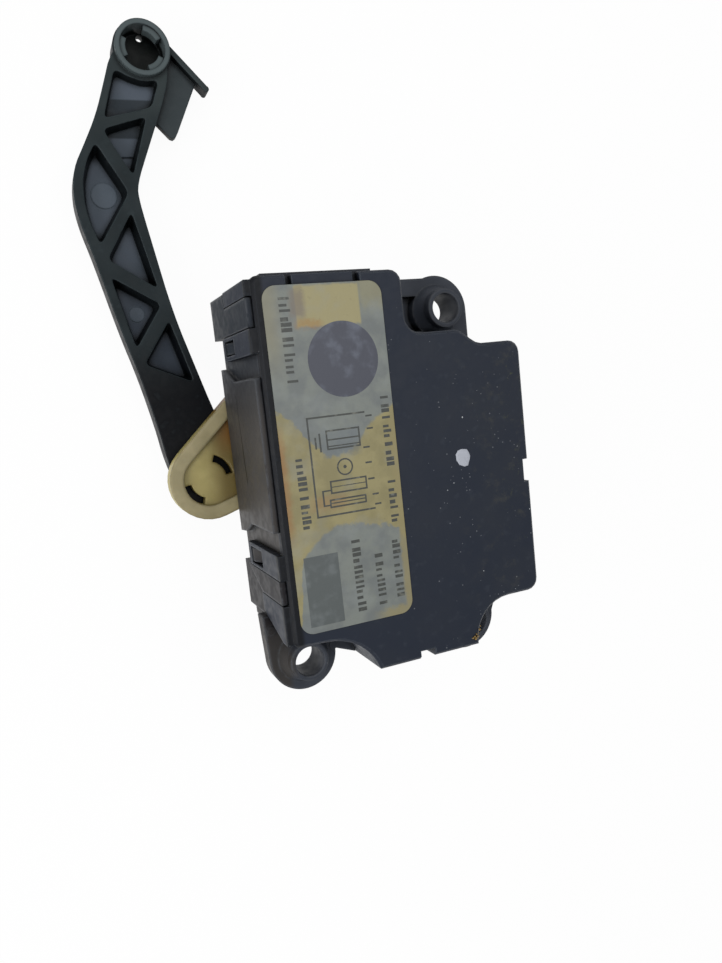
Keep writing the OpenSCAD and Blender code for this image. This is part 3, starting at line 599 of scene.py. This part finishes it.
belt_top = [(-10.8, 9.0), (-8.5, 7.2), (-6.0, 4.4), (-3.5, 1.6), (-1.0, 0.4), (2.0, 1.2),
            (4.2, 3.0), (5.6, 5.0), (8.0, 6.4), (10.8, 8.4)]
belt_foot = [(-10.8, -29.5), (-9.9, -24.0), (-8.8, -16.5), (-6.5, -14.2), (-3.0, -11.9),
             (0.5, -11.5), (4.0, -12.4), (8.0, -13.2), (10.8, -16.0)]
print("points on the belt's borders:", len(belt_top), "and", len(belt_foot))

# %% Spots on the film
# Each spot: its span across and along the label (from, to, soft border), strength, colour
SPOTS = {
    "smudge on the patch": ((-6.2, -3.6, 1.4), (24, 28.8, 2), 0.75, paint(118, 109, 98)),
    "orange below the patch": ((-5.4, -0.8, 2), (22.4, 23.6, 1.2), 0.55, paint(150, 112, 62)),
    "rust on the lower coil": ((-6.4, 0.5, 3), (-8.6, -6.2, 2), 0.4, paint(142, 104, 66)),
    "blue on the upper coil": ((-3.4, 3.8, 1.6), (0.6, 5.0, 1.6), 0.45, paint(98, 106, 112)),
}
print("spots on the film:", ", ".join(SPOTS))

# %% Label finish
def stained_label():
    material, tree, surface, where = start_finish("stained_label", 0.38)
    surface.inputs["Specular IOR Level"].default_value = 0.35
    part_x, part_y, _ = place_of(tree, where)
    x = maths(tree, "SUBTRACT", part_x, label_centre.x)
    y = maths(tree, "SUBTRACT", part_y, label_centre.y)
    ripple = maths(tree, "SUBTRACT", noise(tree, where, 0.7, detail=5, roughness=0.7), 0.5)
    bent_x = maths(tree, "ADD", x, maths(tree, "MULTIPLY", ripple, 1.6))
    bent_y = maths(tree, "ADD", y, maths(tree, "MULTIPLY", ripple, 3.0))
    cloud = spread(tree, noise(tree, where, 0.3, detail=5), 0.35, 0.65)
    silver = tint(tree, cloud, paint(108, 113, 112), paint(121, 126, 121))
    yellow = tint(tree, cloud, paint(134, 126, 88), paint(148, 139, 98))
    belt = maths(tree, "SUBTRACT", above(tree, bent_y, border(tree, bent_x, belt_foot), 0.8),
                 above(tree, bent_y, border(tree, bent_x, belt_top), 0.8))
    colour = stain(tree, silver, belt, 0.95, yellow)
    patch = all_of(tree, between(tree, x, -5.2, 6.4, 0.4),
                   between(tree, maths(tree, "ADD", y, ripple), 22.6, 29.4, 0.6))
    colour = stain(tree, colour, patch, 0.9, paint(156, 147, 106))
    silver_wash = spread(tree, noise(tree, where, 0.18, detail=3), 0.48, 0.7)
    colour = stain(tree, colour, silver_wash, 0.25, paint(140, 146, 146))
    for across, along, strength, spot_colour in SPOTS.values():
        spot = all_of(tree, between(tree, bent_x, *across), between(tree, bent_y, *along))
        colour = stain(tree, colour, spot, strength, spot_colour)
    top_right = all_of(tree, spread(tree, bent_x, 5.8, 7.2), spread(tree, bent_y, 23.5, 27.5))
    colour = stain(tree, colour, top_right, 0.55, paint(142, 136, 100))
    warm_side = all_of(tree, spread(tree, bent_x, -7.0, -10), spread(tree, bent_y, 12, 22))
    colour = stain(tree, colour, warm_side, 0.5, paint(138, 132, 104))
    right_hem = all_of(tree, above(tree, bent_x, 9.5, 0.8), spread(tree, y, 8, 4))
    low_corner = all_of(tree, spread(tree, bent_y, -27.6, -28.8), spread(tree, x, 2, 7))
    hem = maths(tree, "MAXIMUM", right_hem, low_corner)
    colour = stain(tree, colour, hem, 0.75, paint(140, 130, 92))
    brown_edge = all_of(tree, spread(tree, bent_x, -9.2, -10.8), between(tree, y, -12, 5, 7))
    colour = stain(tree, colour, brown_edge, 0.75, paint(144, 104, 62))
    grime = spread(tree, noise(tree, where, 1.2, detail=6, roughness=0.75), 0.56, 0.8)
    colour = stain(tree, colour, grime, 0.4, paint(92, 86, 66))
    tree.links.new(colour, surface.inputs["Base Color"])
    tree.links.new(grain(tree, where, rounded(tree, 0.1), 0.9, 0.5), surface.inputs["Normal"])
    return material


label_film = stained_label()
print("label finish nodes:", len(label_film.node_tree.nodes))

# %% [markdown]
# ## Ink
#
# The print has faded unevenly. Fading is a mask of fine noise between the ink and the grey
# of the film, which keeps the strokes solid in most places and thin in a few.

# %% Ink finishes
def faded_ink(name, ink, film, wear, scale=0.8):
    """Ink that shows the film's tone through in blots; a higher wear fades more of it."""
    material, tree, surface, where = start_finish(name, 0.42)
    rubbed = noise(tree, where, scale, detail=4, roughness=0.5)
    mask = spread(tree, rubbed, 0.75 - wear, 1.0 - wear)
    tree.links.new(tint(tree, mask, ink, film), surface.inputs["Base Color"])
    tree.links.new(grain(tree, where, rounded(tree, 0.03), 1.4, 0.3), surface.inputs["Normal"])
    return material


line_ink = faded_ink("line_ink", paint(58, 61, 58), paint(104, 106, 98), 0.22)
block_ink = faded_ink("block_ink", paint(80, 86, 86), paint(98, 104, 105), 0.28, 0.35)
disc_ink = faded_ink("disc_ink", paint(63, 66, 78), paint(88, 93, 106), 0.28, 0.35)
spot_paint = faded_ink("spot_paint", paint(170, 174, 184), paint(156, 159, 170), 0.2)
crumb_yellow = faded_ink("crumb_yellow", paint(132, 106, 54), paint(92, 78, 48), 0.3)
print("inks:", [m.name for m in (line_ink, block_ink, disc_ink, spot_paint, crumb_yellow)])

# %% [markdown]
# ## Give every CAD node its finish
#
# The CAD shapes stay, so each only swaps the material in its slot. Nodes that nobody can
# see get theirs too, because the part may be opened or cut in another picture.

# %% Assign finishes
finishes = {
    case_black: ["base_housing"],
    cover_black: ["cover"],
    rod_black: ["link_rod"],
    cream: ["crank_lever"],
    label_film: ["label"],
    carrier_black: ["terminal_carrier"],
    turned_brass: ["terminals", "motor_pinion"],
    natural_white: ["motor_terminal_block", "bobbin_lower", "bobbin_upper", "first_gear",
                    "second_gear", "third_gear", "output_gear"],
    wire_sleeve: ["lead_wires"],
    drawn_steel: ["motor_can", "motor_plate", "stator_plates", "motor_screws", "axle_first",
                  "axle_second", "axle_third", "rotor_shaft"],
    sintered_bronze: ["bush_lower", "bush_upper"],
    copper_wire: ["winding_lower", "winding_upper"],
    magnet_grey: ["rotor_magnet"],
}
for finish, names in finishes.items():
    for name in names:
        slots = nodes[name].data.materials
        slots.clear()
        slots.append(finish)
print("finished nodes:", sum(len(names) for names in finishes.values()))

# %% [markdown]
# ## Thin printed plates
#
# Print on a film has almost no thickness, but a flat face lying in another face flickers.
# So each mark is a very thin plate that stands a hair above the film. One helper turns
# closed outlines into such plates and gathers them in one piece, which keeps the part's
# list of pieces short. Two smaller helpers, for the side faces and for the finished
# object, serve again for the marks of use.

# %% Helpers that build small pieces
def side_faces(shape, low, high):
    """Join two loops of equal length with four-sided faces."""
    made = []
    for i in range(len(low)):
        j = (i + 1) % len(low)
        made.append(shape.faces.new((low[i], low[j], high[j], high[i])))
    return made


def shown_piece(name, shape, finish):
    """Turn a bmesh into an object with this finish and show it; the bmesh is used up."""
    mesh = bpy.data.meshes.new(name)
    shape.to_mesh(mesh)
    shape.free()
    mesh.materials.append(finish)
    piece = bpy.data.objects.new(name, mesh)
    bpy.context.collection.objects.link(piece)
    return piece


def thin_plates(name, outlines, bottom_mm, top_mm, finish, body):
    """One piece of closed prisms; each outline runs anticlockwise, in millimetres."""
    shape = bmesh.new()
    for outline in outlines:
        low = [shape.verts.new((x * MM, y * MM, bottom_mm * MM)) for x, y in outline]
        high = [shape.verts.new((x * MM, y * MM, top_mm * MM)) for x, y in outline]
        shape.faces.new(high)
        shape.faces.new(low[::-1])
        side_faces(shape, low, high)
    piece = shown_piece(name, shape, finish)
    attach(piece, body)
    print(name, "has", len(outlines), "plates")


# %% Outlines of blocks and circles
def block(x0, y0, x1, y1):
    return [(x0, y0), (x1, y0), (x1, y1), (x0, y1)]


def round_outline(x, y, radius, corners):
    turns = [2 * math.pi * i / corners for i in range(corners)]
    return [(x + radius * math.cos(t), y + radius * math.sin(t)) for t in turns]


print("a block's corners:", block(0, 0, 2, 1))

# %% [markdown]
# ## What is printed
#
# The film is printed with plain marks only: a dark disc, a dark block, a line drawing of
# two coils round a rotor, and columns of short bars. All are given in millimetres from the
# label's centre. The drawing could be curves with a thickness, but straight blocks that
# meet without overlap give cleaner meshes.

# %% Lines of the coil drawing
LINE, THIN_LINE = 0.3, 0.28


def frame_lines(x0, y0, x1, y1, width=THIN_LINE):
    """The four sides of a rectangle as thin blocks that don't overlap."""
    w = width
    return [block(x0, y0, x1, y0 + w), block(x0, y1 - w, x1, y1),
            block(x0, y0 + w, x0 + w, y1 - w), block(x1 - w, y0 + w, x1, y1 - w)]


def ring_lines(x, y, radius, width, pieces):
    """A ring as a chain of four-sided blocks."""
    inner = round_outline(x, y, radius - width, pieces)
    outer = round_outline(x, y, radius, pieces)
    return [[inner[i], outer[i], outer[(i + 1) % pieces], inner[(i + 1) % pieces]]
            for i in range(pieces)]


outer_frame = [block(-5.6, -9.8, -5.3, 7.5), block(-5.3, 7.2, 5.2, 7.5),
               block(-5.3, -9.8, 5.4, -9.5)]
upper_coil = frame_lines(-2.4, 1.6, 3.9, 5.0)
upper_coil += [block(-2.1, 3.2, 3.6, 3.45), block(-3.7, 1.4, -3.4, 4.6),
               block(-4.5, 2.0, -4.2, 4.0), block(-2.1, 2.1, 3.6, 2.3)]
rotor = ring_lines(0.5, -1.6, 1.5, 0.26, 20) + [round_outline(0.5, -1.6, 0.3, 16)]
lower_coils = frame_lines(-2.6, -6.0, 4.3, -3.7) + frame_lines(-3.0, -8.4, 3.9, -6.9)
lower_coils += [block(-4.2, -8.0, -3.9, -5.2), block(-3.9, -5.45, -2.6, -5.2),
                block(-3.9, -8.0, -3.0, -7.75), block(-2.3, -4.9, 4.0, -4.75),
                block(-2.7, -7.7, 3.6, -7.5)]
tick_places = [(5.3, 6.5), (5.3, 4.3), (4.3, 1.1), (4.4, -1.6), (4.6, -4.5), (5.1, -7.3),
               (5.4, -9.1)]
ticks = [block(x, y, x + 4 * LINE, y + LINE) for x, y in tick_places]
drawing = outer_frame + upper_coil + rotor + lower_coils + ticks
print("lines in the drawing:", len(drawing))

# %% Columns of short bars
dice = random.Random(7)


def bar_column(x, y0, y1, height, pitch=1.1):
    """Bars across the label, stacked from y0 to y1, with a wider gap now and then."""
    made, y = [], y0
    while y < y1 - 0.4:
        long = dice.choice([1.0, 1.0, 0.72])
        thick = dice.choice([0.42, 0.52, 0.66])
        made.append(block(x - height / 2, y, x - height / 2 + height * long, y + thick))
        y += pitch * dice.choice([0.8, 0.8, 1.0, 1.4])
    return made


# Each column: its middle, where it starts and ends along the label, and how wide it is
COLUMNS = [(-7.1, 13.6, 28.0, 1.9), (-7.5, -11.3, 0.8, 1.6), (9.0, -12.7, -5.0, 1.5),
           (9.2, -2.6, 11.0, 1.5), (0.9, -27.5, -13.6, 1.6), (5.0, -27.1, -17.4, 1.5),
           (8.6, -26.4, -16.0, 1.5)]
bars = [bar for column in COLUMNS for bar in bar_column(*column)]
print("bars in the columns:", len(bars))

# %% Set the print on the label
PRINT_GAP, PRINT_THICK = 0.004, 0.014
disc = round_outline(2.4, 16.75, 6.45, 72)
dark_block = block(-8.95, -28.5, -2.65, -16.2)


def on_label(outlines):
    return [[(x + label_centre.x, y + label_centre.y) for x, y in outline]
            for outline in outlines]


print_low = label_high.z + PRINT_GAP
print_high = print_low + PRINT_THICK
thin_plates("label_drawing", on_label(drawing), print_low, print_high, line_ink, "case")
thin_plates("label_bars", on_label(bars), print_low, print_high, line_ink, "case")
thin_plates("label_disc", on_label([disc]), print_low, print_high, disc_ink, "case")
thin_plates("label_block", on_label([dark_block]), print_low, print_high, block_ink, "case")

# %% [markdown]
# ## Marks of use
#
# A dab of pale paint, about 3 mm across with an uneven outline, sits in the middle of the
# cover: a mark that a tester leaves. It is a low crowned blob, made from rings that shrink
# as they rise, because paint rounds off at its rim. A few yellow crumbs stick to the lower
# right cut-out.

# %% Paint dab
def crowned_blob(name, x, y, rim, base_mm, levels, finish, body):
    """A blob on a flat face: rim is its outline round (x, y), levels are (shrink, height)."""
    shape = bmesh.new()
    rings = [[shape.verts.new(((x + dx * shrink) * MM, (y + dy * shrink) * MM,
                               (base_mm + height) * MM)) for dx, dy in rim]
             for shrink, height in levels]
    shape.faces.new(rings[0][::-1])
    shape.faces.new(rings[-1])
    for low, high in zip(rings, rings[1:]):
        for face in side_faces(shape, low, high):
            face.smooth = True
    piece = shown_piece(name, shape, finish)
    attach(piece, body)
    print(name, "has", len(rings), "rings")


dab_rim = [(1.55, 0.1), (1.35, 0.75), (0.95, 1.45), (-0.2, 1.62), (-1.0, 1.4), (-1.5, 0.7),
           (-1.45, -0.35), (-0.9, -1.3), (0.2, -1.75), (0.95, -1.6), (1.2, -0.9), (1.4, -0.5)]
dab_levels = [(1.0, 0.0), (0.98, 0.05), (0.9, 0.09), (0.6, 0.11)]
crowned_blob("cover_paint_dab", 31.4, 34.1, dab_rim, cover_top - 0.02, dab_levels, spot_paint,
             "case")

# %% Crumbs
CRUMB_SIZE, CRUMB_DENT = (0.12, 0.28), (-0.35, 0.25)
crumb_places = [(30.35, -0.09), (30.67, -0.44), (31.02, -0.08), (31.25, 0.46), (31.53, 1.06),
                (31.78, 1.7), (29.98, -0.28), (30.79, 0.32), (30.48, -0.55)]
crumbs = bmesh.new()
for x, y in crumb_places:
    size = dice.uniform(*CRUMB_SIZE)
    centre = Vector((x, y, cover_top + size * 0.5)) * MM
    lump = bmesh.ops.create_icosphere(crumbs, subdivisions=1, radius=size * MM,
                                      matrix=Matrix.Translation(centre))
    for vertex in lump["verts"]:
        vertex.co += (vertex.co - centre) * dice.uniform(*CRUMB_DENT)
crumb_piece = shown_piece("cover_crumbs", crumbs, crumb_yellow)
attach(crumb_piece, "case")
print("crumbs:", len(crumb_places))

# %% [markdown]
# ## Floor and light
#
# The photograph's background is pure white with hardly a shadow. The floor is therefore
# mostly a white glow for the camera and for reflections, and a little of a real white
# surface, which keeps a faint shadow. The world gives most of the light, and is white where
# the camera sees it. Two large, weak lamps, one from the left and one from above, give the
# shapes some depth without changing the colours much.

# %% Floor
FLOOR_HALF, FLOOR_GAP = 2500 * MM, 0.2 * MM
GLOW_SHARE = 0.95
WHITE, NEAR_WHITE = (1, 1, 1, 1), (0.95, 0.95, 0.95, 1)
floor_corners = [(x * FLOOR_HALF, y * FLOOR_HALF, 0)
                 for x, y in ((-1, -1), (1, -1), (1, 1), (-1, 1))]
floor_mesh = bpy.data.meshes.new("floor")
floor_mesh.from_pydata(floor_corners, [], [(0, 1, 2, 3)])
floor = bpy.data.objects.new("floor", floor_mesh)
floor.location.z = cad_box[0].z - FLOOR_GAP
bpy.context.collection.objects.link(floor)
floor_white = bpy.data.materials.new("floor_white")
floor_white.use_nodes = True
floor_tree = floor_white.node_tree
floor_tree.nodes.clear()
rays = shader(floor_tree, "ShaderNodeLightPath")
seen = maths(floor_tree, "ADD", rays.outputs["Is Camera Ray"], rays.outputs["Is Glossy Ray"])
seen = maths(floor_tree, "ADD", seen, rays.outputs["Is Transmission Ray"], clamp=True)
glow = shader(floor_tree, "ShaderNodeEmission", {"Color": WHITE, "Strength": 1.0})
matt = shader(floor_tree, "ShaderNodeBsdfDiffuse", {"Color": NEAR_WHITE})
mixed = shader(floor_tree, "ShaderNodeMixShader",
               {0: maths(floor_tree, "MULTIPLY", seen, GLOW_SHARE), 1: matt.outputs[0],
                2: glow.outputs[0]})
shader(floor_tree, "ShaderNodeOutputMaterial", {"Surface": mixed.outputs[0]})
floor_mesh.materials.append(floor_white)
print("floor at", round(floor.location.z / MM, 2), "mm")

# %% World
SKY_LIGHT = 0.38
world = bpy.data.worlds.new("studio")
bpy.context.scene.world = world
world.use_nodes = True
world_tree = world.node_tree
sky = world_tree.nodes["Background"]
world_rays = shader(world_tree, "ShaderNodeLightPath")
direct = maths(world_tree, "ADD", world_rays.outputs["Is Camera Ray"],
               world_rays.outputs["Is Transmission Ray"], clamp=True)
extra = maths(world_tree, "MULTIPLY", direct, 1 - SKY_LIGHT)
world_tree.links.new(maths(world_tree, "ADD", extra, SKY_LIGHT), sky.inputs["Strength"])
sky.inputs["Color"].default_value = WHITE
print("light from the world:", SKY_LIGHT)

# %% Lamps
def soft_lamp(name, place_mm, target_mm, size, power):
    """A square lamp that looks at a target."""
    lamp_data = bpy.data.lights.new(name, "AREA")
    lamp_data.size = size
    lamp_data.energy = power
    lamp = bpy.data.objects.new(name, lamp_data)
    lamp.location = Vector(place_mm) * MM
    aim = Vector(target_mm) * MM - lamp.location
    lamp.rotation_euler = aim.to_track_quat("-Z", "Y").to_euler()
    bpy.context.collection.objects.link(lamp)


MIDDLE_OF_PART = (10, 45, 0)
soft_lamp("lamp_left", (-420, -60, 260), MIDDLE_OF_PART, 0.35, 1.3)
soft_lamp("lamp_top", (60, 160, 520), MIDDLE_OF_PART, 0.5, 1.3)
